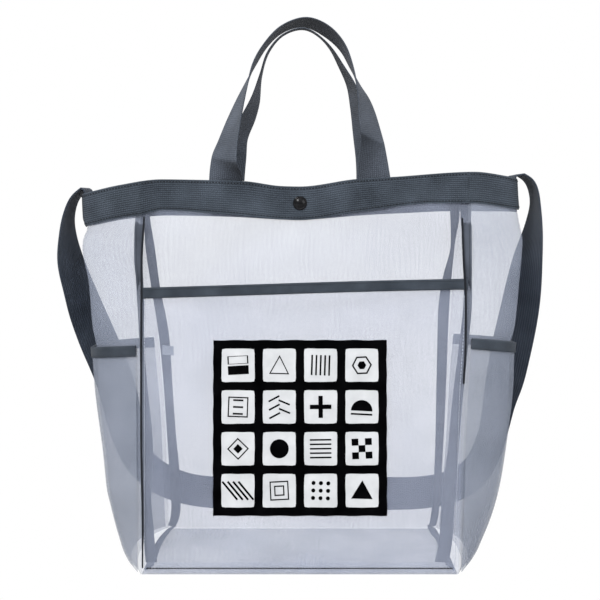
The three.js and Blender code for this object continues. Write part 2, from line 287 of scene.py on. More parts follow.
MESH = net_material("mesh_net", 0.135, (0.36, 0.40, 0.51), (0.44, 0.48, 0.60))
SIDE_MESH = net_material("mesh_net_side", 0.225, (0.36, 0.40, 0.49), (0.44, 0.48, 0.58))
POCKET_MESH = net_material("mesh_net_pocket", 0.345, (0.27, 0.30, 0.36), (0.34, 0.37, 0.44))
# The base net stops more light, as net seen edgewise does, and its colour is darker than the walls' net:
# painted shade for the bag's own shadow on the floor.
SHADED_BASE_MESH = net_material("mesh_net_base_shaded", 0.34, (0.28, 0.32, 0.40), (0.35, 0.39, 0.48))
# Near-black tape, used for dark stitches, the band's folded ends and the painted shadow strips along the
# front seams.
SEAM_DARK = tape_material("tape_shaded", (0.004, 0.005, 0.007), (0.014, 0.016, 0.021))
WEBBING = webbing_material("webbing_mouth", (0.010, 0.014, 0.019), (0.086, 0.106, 0.134))
# The handles' webbing has painted shade on faces turned to the ground.
HANDLE_WEBBING = webbing_material("webbing_handle", (0.030, 0.036, 0.046), (0.118, 0.136, 0.170), 2.3, 0.3)
STRAP_WEBBING = webbing_material("webbing_strap", (0.014, 0.020, 0.030), (0.062, 0.076, 0.102), 2.6)
TAPE = tape_material("tape_seam", (0.034, 0.041, 0.054), (0.096, 0.109, 0.138))
BINDING = tape_material("tape_binding", (0.018, 0.024, 0.032), (0.056, 0.068, 0.086))
THREAD = thread_material("thread_dark", (0.010, 0.013, 0.018), (0.036, 0.042, 0.052))
PALE_THREAD = thread_material("thread_pale", (0.34, 0.37, 0.42), (0.50, 0.54, 0.60))
LACQUER = lacquer_material("lacquer_snap")
INK = ink_material("print_black", (0.0008, 0.0008, 0.0010), (0.0024, 0.0024, 0.0028), 0.8)
LABEL = tape_material("label_cloth", (0.34, 0.37, 0.42), (0.50, 0.53, 0.58))
PALE_INK = ink_material("print_pale", (0.49, 0.50, 0.51), (0.58, 0.59, 0.60), 0.75)

# ------------------------------------------------------------------ mesh helpers


def curve(*stops):
    """A smooth function through (place, value) stops, which never overshoots them."""
    xs, ys = (np.array(values, float) for values in zip(*stops))
    steps = np.diff(xs)
    slopes = np.diff(ys) / steps
    turns = np.zeros(len(xs))
    for i in range(1, len(xs) - 1):
        if slopes[i - 1] * slopes[i] > 0:
            first, second = 2 * steps[i] + steps[i - 1], steps[i] + 2 * steps[i - 1]
            turns[i] = (first + second) / (first / slopes[i - 1] + second / slopes[i])
    turns[0], turns[-1] = slopes[0], slopes[-1]

    def at(x):
        x = np.clip(np.asarray(x, float), xs[0], xs[-1])
        i = np.clip(np.searchsorted(xs, x, side="right") - 1, 0, len(steps) - 1)
        h, t = steps[i], (x - xs[i]) / steps[i]
        return (
            ys[i] * (1 + 2 * t) * (1 - t) ** 2
            + turns[i] * h * t * (1 - t) ** 2
            + ys[i + 1] * t ** 2 * (3 - 2 * t)
            + turns[i + 1] * h * t ** 2 * (t - 1)
        )

    return at


def unit(v):
    return v / np.maximum(np.linalg.norm(v, axis=-1, keepdims=True), 1e-9)


def grid_normals(points):
    down = np.gradient(points, axis=0)
    along = np.gradient(points, axis=1)
    return unit(np.cross(along, down))


def make_object(name, vertices, faces, material, uv=None, sharp=(), smooth=True):
    mesh = bpy.data.meshes.new(name)
    mesh.from_pydata([tuple(v) for v in np.asarray(vertices) * MM], [], [tuple(f) for f in faces])
    mesh.validate()
    layer = mesh.uv_layers.new(name="cloth")
    if uv is not None:
        corners = np.zeros(len(mesh.loops), int)
        mesh.loops.foreach_get("vertex_index", corners)
        layer.data.foreach_set("uv", np.asarray(uv, np.float32)[corners].ravel())
    mesh.polygons.foreach_set("use_smooth", [smooth] * len(mesh.polygons))
    if len(sharp):
        ends = np.zeros(2 * len(mesh.edges), int)
        mesh.edges.foreach_get("vertices", ends)
        groups = np.full(len(mesh.vertices), -1)
        for group, members in enumerate(sharp):
            groups[members] = group
        first, second = groups[ends[0::2]], groups[ends[1::2]]
        flag = mesh.attributes.new("sharp_edge", "BOOLEAN", "EDGE")
        flag.data.foreach_set("value", (first >= 0) & (first == second))
    mesh.materials.append(material)
    piece = bpy.data.objects.new(name, mesh)
    bpy.context.collection.objects.link(piece)
    return piece


def cloth_uv(points):
    """Distances in millimetres along and up a grid of points."""
    along = np.linalg.norm(np.diff(points, axis=1), axis=2)
    along = np.concatenate([np.zeros((len(points), 1)), np.cumsum(along, axis=1)], axis=1)
    along -= along[:, [points.shape[1] // 2]]
    up = np.linalg.norm(np.diff(points, axis=0), axis=2).mean(axis=1)
    up = np.concatenate([[0], np.cumsum(up)])
    return np.stack([along, np.repeat(up[:, None], points.shape[1], 1)], axis=2)


def sheet(name, points, thickness, material):
    """A closed thin sheet about a grid of points, rows by columns. thickness is a number or grid."""
    rows, columns = points.shape[:2]
    half = grid_normals(points) * (np.ones((rows, columns)) * thickness / 2)[..., None]
    uv = cloth_uv(points).reshape(-1, 2)
    vertices = np.concatenate([(points + half).reshape(-1, 3), (points - half).reshape(-1, 3)])
    index = np.arange(rows * columns).reshape(rows, columns)
    a, b = index[:-1, :-1].ravel(), index[:-1, 1:].ravel()
    c, d = index[1:, 1:].ravel(), index[1:, :-1].ravel()
    total = rows * columns
    faces = [*zip(a, b, c, d), *zip(a + total, d + total, c + total, b + total)]
    ring = [*index[0, :-1], *index[:-1, -1], *index[-1, :0:-1], *index[:0:-1, 0]]
    for i, here in enumerate(ring):
        after = ring[(i + 1) % len(ring)]
        faces.append((here, here + total, after + total, after))
    edge = np.array(ring)
    return make_object(name, vertices, faces, material, np.concatenate([uv, uv]), (edge, edge + total))


def rounded(count, edge=0.06):
    """Shares across webbing, close together at its two selvedges, and the thickness there."""
    near = edge * np.array([0, 0.12, 0.35, 0.65])
    shares = np.concatenate([near, np.linspace(edge, 1 - edge, count), 1 - near[::-1]])
    inside = np.clip(np.minimum(shares, 1 - shares) / edge, 0, 1)
    return shares, 0.35 + 0.65 * np.sqrt(1 - (1 - inside) ** 2)


def ribbon(name, first, second, thickness, material, count=10, edge=0.04):
    """Webbing between two edge lines, with rounded selvedges."""
    shares, fullness = rounded(count, edge)
    points = first[None] * (1 - shares[:, None, None]) + second[None] * shares[:, None, None]
    return sheet(name, points, thickness * fullness[:, None], material)


def stitches(name, path, normals, material, length=2.7, pitch=3.6, radius=0.30):
    """A row of sewn stitches along a path, half sunk into the cloth."""
    steps = np.linalg.norm(np.diff(path, axis=0), axis=1)
    reach = np.concatenate([[0], np.cumsum(steps)])
    starts = np.arange(0.5 * pitch, reach[-1] - pitch, pitch)
    rings = [(-0.5, 0.25), (-0.36, 0.9), (0.0, 1.0), (0.36, 0.9), (0.5, 0.25)]
    sides = 6
    vertices, faces, uvs = [], [], []

    def place(values, at):
        return np.stack([np.interp(at, reach, values[:, k]) for k in range(3)])

    for start in starts:
        middle = place(path, start + length / 2)
        along = unit(place(path, start + length) - place(path, start))
        out = unit(place(normals, start + length / 2))
        side = unit(np.cross(along, out))
        base = len(vertices)
        for offset, size in rings:
            for k in range(sides):
                turn = 2 * math.pi * k / sides
                shift = radius * size * (math.cos(turn) * side + math.sin(turn) * out)
                vertices.append(middle + along * offset * length + shift + out * 0.12 * size)
                uvs.append((start + offset * length, k))
        for r in range(len(rings) - 1):
            for k in range(sides):
                a, b = base + r * sides + k, base + r * sides + (k + 1) % sides
                faces.append((a, a + sides, b + sides, b))
        faces.append(tuple(base + k for k in range(sides)))
        faces.append(tuple(base + (len(rings) - 1) * sides + k for k in reversed(range(sides))))
    return make_object(name, vertices, faces, material, uvs)


def wave(points, seed, size=26.0):
    """Smooth, fixed noise from -1 to 1 at each point."""
    turn = np.array([[0.93, 0.31, 0.54], [-0.42, 0.88, 0.61], [0.23, -0.71, 0.83], [0.67, 0.52, -0.38]])
    total = 0
    for k, direction in enumerate(turn):
        scale = (1 + 0.37 * k) / size
        total = total + np.sin(points @ (direction * scale) + seed * (1.7 + k)) / (1 + 0.4 * k)
    return total / 2.6


# ------------------------------------------------------------------ the shape of the bag

rim_height = curve(
    (-244, 409), (-195, 420), (-150, 426), (-102, 425.5), (-63.5, 424.5), (-19, 419), (0, 418.6),
    (63.6, 426.8), (101, 428.8), (190, 434), (225, 430), (246, 426),
)
front_foot = curve(
    (-244, 374), (-195, 384), (-174, 387), (-150, 392.5), (-85, 388), (0, 381), (63, 390),
    (150, 400), (185, 400), (236, 394), (246, 393),
)
back_foot = curve(
    (-244, 374), (-200, 382), (-150, 385.8), (-80, 384.5), (0, 381), (18, 382), (73, 386.4),
    (128, 389), (170, 390.6), (236, 390.5), (246, 390),
)
left_seam = curve((0, 172), (200, 173), (430, 174))
right_seam = curve((0, 171), (60, 173), (185, 177), (290, 183), (430, 183))
# How far the middle of each gusset reaches from the middle of the bag.
left_reach = curve(
    (0, 174), (1.5, 185), (3, 190), (6, 196.5), (24, 204.5), (59, 214), (77, 218), (112, 221),
    (182, 227), (238, 229.5), (262, 234), (312, 237.5), (350, 243.5), (360, 242),
    (374, 236.5), (384, 239), (430, 240),
)
right_reach = curve(
    (0, 174), (1.5, 184), (3, 189), (6, 195.5), (24, 206.5), (59, 220), (95, 228), (147, 234),
    (200, 237), (238, 236.5), (262, 241.5), (300, 245), (357, 248.5), (374, 245), (395, 241), (432, 238),
)

# How far the back seams stand in from the front ones.
left_tuck = curve((0, 10), (120, 10), (240, 5), (360, 0), (430, 0))
right_tuck = curve((0, 3), (114, 2), (240, 4), (312, 4), (400, 0), (430, 0))


def lean_at(z):
    return np.clip(np.asarray(z, float) / BAND_FOOT, 0, 1)


def seam_depth(z):
    return HALF_DEPTH + (SEAM_AT_RIM - HALF_DEPTH) * lean_at(z)


def wall_x(side, share, z):
    """X at a share across the wall, from -1 at the left seam to 1 at the right one."""
    tuck = 1.0 if side == BACK else 0.0
    left = left_seam(z) - tuck * left_tuck(z)
    right = right_seam(z) - tuck * right_tuck(z)
    return np.where(share < 0, share * left, share * right)


def wall(side, share, z, out=0.0):
    """Points on the front or back wall."""
    share, z = np.broadcast_arrays(np.asarray(share, float), np.asarray(z, float))
    draw = SEAM_AT_RIM - SNAP_GAP
    depth = seam_depth(z) - draw * lean_at(z) ** 2 * (1 - np.abs(share) ** 1.5)
    return np.stack([wall_x(side, share, z), side * (depth + out), z], axis=-1)


def gusset(side, share, z, out=0.0):
    """Points on a gusset, from share -1 at the front seam to 1 at the back seam."""
    share, z = np.broadcast_arrays(np.asarray(share, float), np.asarray(z, float))
    seam = (left_seam if side == LEFT else right_seam)(z)
    reach = (left_reach if side == LEFT else right_reach)(z)
    tuck = (left_tuck if side == LEFT else right_tuck)(z)
    power = 2.2 + 3.6 * lean_at(z) ** 3

    def plan(at):
        edge = seam - tuck * np.clip(at, 0, 1) ** 2
        return edge + (reach - edge) * (1 - np.abs(at) ** power), seam_depth(z) * at

    x, y = plan(share)
    ahead, behind = plan(np.minimum(1, share + 0.03)), plan(np.maximum(-1, share - 0.03))
    along = unit(np.stack([ahead[0] - behind[0], ahead[1] - behind[1]], axis=-1))
    return np.stack([side * (x + along[..., 1] * out), y - along[..., 0] * out, z], axis=-1)


# ------------------------------------------------------------------ riding on the bodies


def on_root(piece):
    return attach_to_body(piece, "root")


def on_front(piece):
    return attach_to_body(piece, "front_wall")


def on_side(piece):
    """Cloth on a gusset: its transform is baked into its mesh, and it is attached to no body."""
    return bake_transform(piece)


def declare(piece, slot, *nodes):
    if nodes:
        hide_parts(*nodes)
    return piece


# ------------------------------------------------------------------ mesh panels


def swell(points, share, z, height, seed, size=30.0):
    """Shallow waves in a panel, which die out at its seams."""
    inside = (1 - np.abs(share) ** 6) * np.clip((z - 8) / 40, 0, 1) * (1 - lean_at(z) ** 6)
    return height * inside * wave(points, seed, size)


def floor_turn(z, radius=4.5):
    """How far cloth turns in under the bag at the floor."""
    low = np.clip(radius - z, 0, radius)
    return radius - np.sqrt(radius ** 2 - low ** 2)


def build_wall_panel(side, name):
    share = np.linspace(-1, 1, 131)[None, :]
    flat_x = wall_x(side, share, 300.0)
    top = rim_height(flat_x) - 0.8
    z = GROUND_GAP + (top - GROUND_GAP) * np.linspace(0, 1, 110)[:, None] ** 1.15
    share, z = np.broadcast_arrays(share, z)
    out = swell(wall(side, share, z), share, z, 1.3 if side == FRONT else 3.2, 2.0 + side, 34)
    if side == BACK:
        # Soft creases run up from the back corners.
        fade = np.clip(1 - z / 210, 0, 1) * np.clip(z / 20, 0, 1)
        for x, lean in ((-120, 0.35), (-70, 0.2), (95, -0.25), (135, -0.4)):
            line = wall_x(side, share, z) - x - lean * z
            out = out + 2.2 * np.exp(-(line / 7) ** 2) * fade
    points = wall(side, share, z, out - floor_turn(z))
    if side == BACK:
        points = points[:, ::-1]
    return sheet(name, points, NET, MESH)


def build_gusset(side, name):
    share = np.sin(np.linspace(-1, 1, 75) * math.pi / 2)[None, :]
    top = rim_height(side * (174 + 65 * (1 - np.abs(share) ** 5.8))) - 0.8
    z = GROUND_GAP + (top - GROUND_GAP) * np.linspace(0, 1, 120)[:, None] ** 1.7
    share, z = np.broadcast_arrays(share, z)
    out = swell(gusset(side, share, z), share, z, 1.6, 5.0 + side, 30)
    points = gusset(side, share, z, np.minimum(out, 1.2))
    if side == LEFT:
        points = points[:, ::-1]
    return sheet(name, points, NET, SIDE_MESH)


def pocket_place(x, z, out=0.0):
    """A place on the front pocket, for X and height in millimetres."""
    x, z = np.broadcast_arrays(np.asarray(x, float), np.asarray(z, float))
    share = np.clip(x / 178, -1, 1)
    flat = np.stack([x, np.zeros_like(x), z], axis=-1)
    bow = 1.1 * (1 - share ** 6) * np.clip((z - 8) / 50, 0, 1) * wave(flat, 8.3, 55)
    bow = np.maximum(bow, -0.9)
    depth = seam_depth(z) + POCKET_GAP + bow + out - floor_turn(z, 5.5)
    return np.stack([x, -depth, z], axis=-1)


pocket_top = curve((-176, 308), (-60, 311.5), (0, 313.4), (90, 316), (186, 318))


def pocket_edges(z):
    return -(left_seam(z) - 0.6), right_seam(z) - 0.6


def build_front_pocket():
    share = np.linspace(0, 1, 121)[None, :]
    left, right = pocket_edges(300.0)
    top = pocket_top(left + (right - left) * share) - 2
    z = GROUND_GAP + (top - GROUND_GAP) * np.linspace(0, 1, 90)[:, None] ** 1.1
    left, right = pocket_edges(z)
    x = left + (right - left) * share
    x, z = np.broadcast_arrays(x, z)
    return sheet("front_pocket_net", pocket_place(x, z), NET, MESH)


def side_pocket_top(side, share):
    front, middle, back = (246, 238, 241) if side == LEFT else (254, 243, 245)
    end = np.where(share < 0, front, back)
    return middle + (end - middle) * np.abs(share) ** 1.6


def side_pocket_place(side, share, z, out=0.0):
    slack = 3.0 * np.clip(z / 238, 0, 1.1) ** 2 * (1 - share ** 2)
    return gusset(side, share, z, POCKET_GAP + slack + out)


def build_side_pocket(side, name):
    share = 0.975 * np.sin(np.linspace(-1, 1, 65) * math.pi / 2)[None, :]
    top = side_pocket_top(side, share) - 2
    z = 3 + (top - 3) * np.linspace(0, 1, 70)[:, None] ** 1.6
    share, z = np.broadcast_arrays(share, z)
    ripple = 0.7 * wave(gusset(side, share, z), 3.1, 24) * (1 - share ** 4)
    points = side_pocket_place(side, share, z, ripple)
    if side == LEFT:
        points = points[:, ::-1]
    return sheet(name, points, NET, POCKET_MESH)


def build_base():
    x = np.linspace(-1, 1, 90)[None, :]
    y = np.linspace(-1, 1, 50)[:, None]
    x, y = np.broadcast_arrays(x, y)
    half = np.where(x < 0, 171.0 - 9 * np.clip(y, 0, 1) ** 2, 170.0 - 3 * np.clip(y, 0, 1) ** 2)
    ripple = 1 + wave(np.stack([x * 171, y * 84, 0 * x], axis=-1), 4.4, 22)
    z = 0.55 + 0.5 * ripple * (1 - x ** 8) * (1 - y ** 8)
    return sheet("base_net", np.stack([x * half, y * 84.0, z], axis=-1), NET, SHADED_BASE_MESH)


front_net = declare(on_front(build_wall_panel(FRONT, "front_net")), "mesh", "front_panel")
back_net = declare(on_root(build_wall_panel(BACK, "back_net")), "mesh", "back_panel")
base_net = declare(on_root(build_base()), "mesh", "base_panel")
left_net = declare(on_side(build_gusset(LEFT, "left_gusset_net")), "mesh", "left_gusset")
right_net = declare(on_side(build_gusset(RIGHT, "right_gusset_net")), "mesh", "right_gusset")
pocket_net = declare(on_front(build_front_pocket()), "mesh", "front_pocket")
left_pocket_net = declare(on_side(build_side_pocket(LEFT, "left_pocket_net")), "mesh", "left_pocket")
right_pocket_net = declare(on_side(build_side_pocket(RIGHT, "right_pocket_net")), "mesh", "right_pocket")

# ------------------------------------------------------------------ mouth bands

BAND_OUT = 2.2
BAND_THICK = 1.4
BAND_ENDS = 43           # columns of the band's grid on each gusset, before the seam


def band_line(side, foot, out, share_up, middle=150):
    """A line along one half of the mouth at a share up the band, from its left end to its right."""
    turn = np.sin(np.linspace(0.012, 1, BAND_ENDS + 1) * math.pi / 2)
    across = np.linspace(-1, 1, middle)

    def height(x):
        low = foot(x)
        return low + (rim_height(x) - (2.5 if side == BACK else 0) - low) * share_up

    def gusset_part(end):
        z = np.full(turn.shape, MOUTH)
        rough = gusset(end, side * turn, z, out)
        return gusset(end, side * turn, height(rough[..., 0]), out)

    x = wall_x(side, across, MOUTH)
    walls = wall(side, across, height(x), out)
    return np.concatenate([gusset_part(LEFT)[:-1], walls, gusset_part(RIGHT)[::-1][1:]])


def band_cuts(count):
    """Where a row of the band's grid is cut: left, middle and right parts that share the seams."""
    return (0, BAND_ENDS + 1), (BAND_ENDS, count - BAND_ENDS), (count - BAND_ENDS - 1, count)


def band_parts(side):
    """The band as three grids that meet at the seams: left, middle, right."""
    foot = front_foot if side == FRONT else back_foot
    shares, fullness = rounded(14, 0.05)
    grid = np.stack([band_line(side, foot, BAND_OUT, share) for share in shares])
    return [(grid[:, a:b], fullness) for a, b in band_cuts(grid.shape[1])]


def band_stitches(side, share_up):
    foot = front_foot if side == FRONT else back_foot
    path = band_line(side, foot, BAND_OUT + BAND_THICK / 2 + 0.05, share_up)
    inner = band_line(side, foot, 0.0, share_up)
    return [(path[a:b], unit(path[a:b] - inner[a:b])) for a, b in band_cuts(len(path))]


def build_bands():
    for (points, fullness), part in zip(band_parts(FRONT), ("left", "middle", "right")):
        piece = sheet(f"front_band_{part}", points, BAND_THICK * fullness[:, None], WEBBING)
        (on_front if part == "middle" else on_side)(piece)
        declare(piece, "webbing", "front_mouth_band")
    parts = band_parts(BACK)
    points = np.concatenate([part[0][:, min(k, 1):] for k, part in enumerate(parts)], axis=1)
    fullness = parts[0][1]
    piece = sheet("back_band", points[:, ::-1], BAND_THICK * fullness[:, None], WEBBING)
    declare(on_root(piece), "webbing", "back_mouth_band")
    for row, share_up in (("low", 0.075), ("high", 0.925)):
        for (path, normals), part in zip(band_stitches(FRONT, share_up), ("left", "middle", "right")):
            piece = stitches(f"front_band_stitches_{row}_{part}", path, normals, SEAM_DARK, 2.2, 3.4, 0.5)
            (on_front if part == "middle" else on_side)(piece)
            declare(piece, "webbing")
        path, normals = (np.concatenate(rows) for rows in zip(*band_stitches(BACK, share_up)))
        piece = stitches(f"back_band_stitches_{row}", path, normals, SEAM_DARK, 2.2, 3.4, 0.5)
        declare(on_root(piece), "webbing")
    # The raw ends of the front band, folded under and sewn down at the middle of each side.
    shares = np.linspace(-0.02, 1.0, 24)
    grid = np.stack([band_line(FRONT, front_foot, BAND_OUT + 1.35, share) for share in shares])
    for word, part in (("left", grid[:, :4]), ("right", grid[:, -4:])):
        piece = sheet(f"front_band_fold_{word}", part, 0.8, SEAM_DARK)
        declare(on_side(piece), "webbing")


build_bands()

# ------------------------------------------------------------------ folded bindings


def fold_section(depth, gap=1.25, turns=7):
    """The section of a tape folded over an edge: (out, up) pairs down one flap and up the other."""
    flap = np.linspace(-depth, 0, 7)
    bend = np.linspace(0, math.pi, turns)[1:-1]
    section = [(gap, up) for up in flap]
    section += [(gap * math.cos(a), gap * math.sin(a)) for a in bend]
    return section + [(-gap, up) for up in flap[::-1]]


def binding(name, place, along, top, depth):
    """A folded tape over a pocket's top edge. place(along, z, out) is a point of the pocket."""
    grid = np.stack([place(along, top + up, out) for out, up in fold_section(depth)])
    return sheet(name, grid, 0.75, BINDING)


def build_bindings():
    left, right = pocket_edges(312.0)
    x = left + (right - left) * np.linspace(0, 1, 150)
    top = pocket_top(x) - 1.2
    piece = binding("front_pocket_tape", pocket_place, x, top, 10.2)
    declare(on_front(piece), "tape", "front_pocket_binding")
    for row, drop in (("low", 8.9), ("high", 0.4)):
        path = pocket_place(x, top - drop, 1.75)
        normals = np.broadcast_to((0.0, -1.0, 0.0), path.shape)
        declare(on_front(stitches(f"front_pocket_stitches_{row}", path, normals, THREAD)), "tape")
    share = 0.975 * np.sin(np.linspace(-1, 1, 90) * math.pi / 2)
    for side, word in ((LEFT, "left"), (RIGHT, "right")):
        def place(at, z, out, side=side):
            return side_pocket_place(side, at, z, out)

        top = side_pocket_top(side, share) - 1.2
        piece = binding(f"{word}_pocket_tape", place, share, top, 10.4)
        declare(on_side(piece), "tape", f"{word}_pocket_binding")
        path = place(share, top - 8.9, 1.75)
        normals = unit(path - place(share, top - 8.9, 0.0))
        declare(on_side(stitches(f"{word}_pocket_stitches", path, normals, THREAD)), "tape")


build_bindings()

# ------------------------------------------------------------------ seam tapes

# For each upright seam: height, X of the tape's sewn edge, X of its free edge.
UPRIGHT_TAPES = {
    "front_left": [
        (408, -178, -168), (386, -180, -169), (345, -180.5, -172), (310, -178, -171.5),
        (256, -174.5, -172.5), (200, -172.5, -168), (130, -171, -160.5), (80, -170, -163),
        (45, -169.5, -159), (13, -167, -155),
    ],
    "front_right": [
        (410, 187, 175), (360, 187, 177), (330, 187, 178), (296, 187, 180), (240, 182, 174),
        (180, 176, 166), (130, 172, 160.5), (98, 169, 155.5), (38, 165, 151), (13, 161, 146),
    ],
    "back_left": [
        (406, -180, -174), (385, -180, -173.5), (360, -180, -170.5), (305, -174.5, -164.5),
        (238, -166.5, -155), (180, -162.5, -152.5), (114, -160, -149.5), (61, -158.5, -146.5),
        (30, -157.5, -146.5), (16, -158.5, -148.5), (5, -162, -153),
    ],
    "back_right": [
        (408, 184.5, 174), (390, 184.5, 174), (354, 179.5, 175), (312, 177, 167), (270, 175.5, 163),
        (180, 174.5, 163.5), (114, 173, 163.5), (40, 170.5, 162), (16, 169, 160), (5, 166.5, 158),
    ],
}
TAPE_WIDTH = 11.0


def tape_edges(end, stops, count=90):
    height, sewn, free = (np.array(v, float) for v in zip(*sorted(stops)))
    z = np.linspace(height[0], height[-1], count)
    sewn_x, free_x = curve(*zip(height, sewn))(z), curve(*zip(height, free))(z)
    inward = np.sqrt(np.clip(TAPE_WIDTH ** 2 - (sewn_x - free_x) ** 2, 1, None))
    if end == FRONT:
        # The front tapes lie flat on the outside near the mouth and turn inside lower down.
        outside = np.clip((z - 285) / 45, 0, 1)
        outside = outside * outside * (3 - 2 * outside) * (1 - np.clip((z - 373) / 9, 0, 1))
        inward = inward * (1 - outside)
        depth = seam_depth(z) - 2.6 + 4.0 * outside
    else:
        depth = seam_depth(z) - 2.6
    sewn_line = np.stack([sewn_x, end * depth, z], axis=-1)
    free_line = np.stack([free_x, end * (depth - inward), z], axis=-1)
    return sewn_line, free_line


def folded_tape(name, sewn, free):
    """A tape folded lengthwise over a seam: two flaps that meet in a round fold at the free edge."""
    width = unit(free - sewn)
    along = unit(np.gradient(sewn, axis=0))
    out = unit(np.cross(along, width))
    reach = np.linalg.norm(free - sewn, axis=1)[:, None]
    gap = 0.75
    rows = []
    for share in np.linspace(0, 1, 7):
        rows.append(sewn + width * reach * share * 0.94 + out * gap)
    for angle in np.linspace(0, math.pi, 6)[1:-1]:
        rows.append(sewn + width * (reach * 0.94 + gap * math.sin(angle)) + out * gap * math.cos(angle))
    for share in np.linspace(1, 0, 7):
        rows.append(sewn + width * reach * share * 0.94 - out * gap)
    piece = sheet(name, np.stack(rows), 0.55, TAPE)
    line = sewn + width * 2.4
    return piece, [(line + out * 1.1, out), (line - out * 1.1, -out)]


def build_tapes():
    for where, stops in UPRIGHT_TAPES.items():
        end = FRONT if where.startswith("front") else BACK
        sewn, free = tape_edges(end, stops)
        piece, rows = folded_tape(f"{where}_tape", sewn, free)
        attach = on_front if end == FRONT else on_root
        declare(attach(piece), "tape", f"{where}_seam_tape")
        for k, (path, normals) in enumerate(rows):
            declare(attach(stitches(f"{where}_tape_stitches_{k}", path, normals, THREAD)), "tape")
    for side, word, sewn_x, free_x in ((LEFT, "left", -169.0, -160.0), (RIGHT, "right", 168.0, 158.5)):
        y = np.linspace(-76, 74, 60)
        tuck = (9 if side == LEFT else 3) * np.clip(y / 80, 0, 1) ** 2 * side
        lift = 1.1 * np.sin(y / 14.0 + side)
        sewn = np.stack([sewn_x - tuck, y, 2.6 + 0 * y], axis=-1)
        free = np.stack([free_x - tuck + 0.8 * lift, y, 7.6 + lift], axis=-1)
        piece, rows = folded_tape(f"base_{word}_tape", sewn, free)
        declare(on_root(piece), "tape", f"base_{word}_seam_tape")
        path, normals = rows[0] if rows[0][1][0][2] > 0 else rows[1]
        declare(on_root(stitches(f"base_{word}_tape_stitches", path, normals, THREAD)), "tape")


build_tapes()


def build_seam_edges():
    """A near-black strip along the turned edge of each front seam: the edge seen edge-on, with painted
    shadow of the gap at the fold.
    """
    lines = {
        "left": [(385, -169.5), (335, -172), (250, -172), (150, -171.5), (45, -169.5), (9, -169.5)],
        "right": [(384, 176.5), (362, 177), (335, 178), (296, 180), (250, 179.5), (205, 177)],
    }
    for word, stops in lines.items():
        height, x = (np.array(v, float) for v in zip(*sorted(stops)))
        z = np.linspace(height[0], height[-1], 160)
        middle = curve(*zip(height, x))(z)
        width = np.interp(z, (0, 60, 330, 390), (0.7, 1.1, 1.2, 1.0))
        depth = seam_depth(z) + 4.1 - floor_turn(z, 5.5)
        first = np.stack([middle - width, -depth, z], axis=-1)
        second = np.stack([middle + width, -depth - 0.5, z], axis=-1)
        # Painted shadow: the strip is near black for the shade in the gap at the seam's fold as well as
        # for the edge itself.
        piece = ribbon(f"front_{word}_seam_edge_shadow", first, second, 0.9, SEAM_DARK, 3, 0.25)
        declare(on_front(piece), "tape")


build_seam_edges()


def build_hems():
    """The stitched line along the bottom of the front, and the turned hem above it."""
    left, right = pocket_edges(12.0)
    x = left + (right - left) * np.linspace(0.012, 0.988, 140)
    grid = np.stack([pocket_place(x, 4.0 + 10.5 * share, 0.75) for share in np.linspace(0, 1, 6)])
    declare(on_front(sheet("front_hem", grid, 0.45, MESH)), "mesh")
    path = pocket_place(x, 8.6, 1.25)
    normals = np.broadcast_to((0.0, -1.0, 0.0), path.shape)
    declare(on_front(stitches("front_hem_stitches", path, normals, SEAM_DARK, 3.1, 3.3, 0.75)), "mesh")
    for side, word in ((LEFT, "left"), (RIGHT, "right")):
        edge = left_seam if side == LEFT else right_seam
        z = np.linspace(10, 302, 120)
        path = pocket_place(side * (edge(z) - 4.5), z, 0.45)
        normals = np.broadcast_to((0.0, -1.0, 0.0), path.shape)
        declare(on_front(stitches(f"front_seam_stitches_{word}", path, normals, PALE_THREAD)), "mesh")


build_hems()

# ------------------------------------------------------------------ handles

# Stops along the outer and the inner edge of each handle, from the left foot to the right one.
FRONT_HANDLE = [
    ((-101, -13.5, 425), (-63, -13.5, 425)),
    ((-100.5, -11, 435.5), (-64.5, -20, 433)),
    ((-98, -6, 452), (-69, -30, 443)),
    ((-91.5, -4, 468), (-68.5, -34, 462)),
    ((-83.5, -3, 487.5), (-66, -36.5, 479)),
    ((-73, -2.5, 510), (-62.5, -38, 499.5)),
    ((-58.5, -2, 537), (-56, -39.5, 531)),
    ((-49, -2, 553.5), (-51, -40, 550)),
    ((-36.5, -2, 573), (-40, -40, 569.5)),
    ((-19, -2, 588.5), (-21, -40, 589.5)),
    ((5, -2, 594.5), (7, -40, 599)),
    ((26.5, -2, 584.5), (30.5, -40, 590.5)),
    ((44.5, -2, 569), (48, -40, 571.5)),
    ((56.5, -2, 548.5), (57.5, -40, 546)),
    ((68.5, -2.5, 528), (62, -39, 522)),
    ((76.5, -3, 516.5), (63, -38, 511)),
    ((83, -3.5, 502), (63.5, -37, 498)),
    ((89, -4.5, 482.5), (65, -35, 483.5)),
    ((94, -6, 464), (66.5, -30, 472)),
    ((97.5, -9, 446.5), (65, -22.5, 451.5)),
    ((101, -13.5, 425), (63, -13.5, 425)),
]
BACK_HANDLE = [
    ((-101.5, 13.5, 425.5), (-63, 13.5, 425.5)),
    ((-98.5, 10, 436), (-62.5, 19, 436)),
    ((-89, 5, 451.5), (-61.5, 29, 453.5)),
    ((-78.5, 4, 473), (-60.5, 35, 472.5)),
    ((-65, 3, 498.5), (-51.5, 37.5, 496)),
    ((-55.5, 2.5, 515.5), (-47, 38.5, 513)),
    ((-44.5, 2, 543.5), (-44, 40, 545.5)),
    ((-35.5, 2, 569), (-35.5, 40, 572.5)),
    ((-19, 2, 587), (-19, 40, 591.5)),
    ((5, 2, 594), (5, 40, 598)),
    ((25, 2, 582.5), (25, 40, 587)),
    ((34.5, 2, 573), (33.5, 40, 577)),
    ((48.5, 2, 553), (44, 40, 557)),
    ((63, 2.5, 530), (54.5, 38.5, 531.5)),
    ((69.5, 3, 514), (57.5, 37.5, 512.5)),
    ((85.5, 5.5, 469), (61.5, 30, 472)),
    ((93.5, 9, 449.5), (63.5, 22.5, 451)),
    ((98.5, 11.5, 437), (64, 17, 437)),
    ((101.5, 13.5, 425.5), (64, 13.5, 425.5)),
]

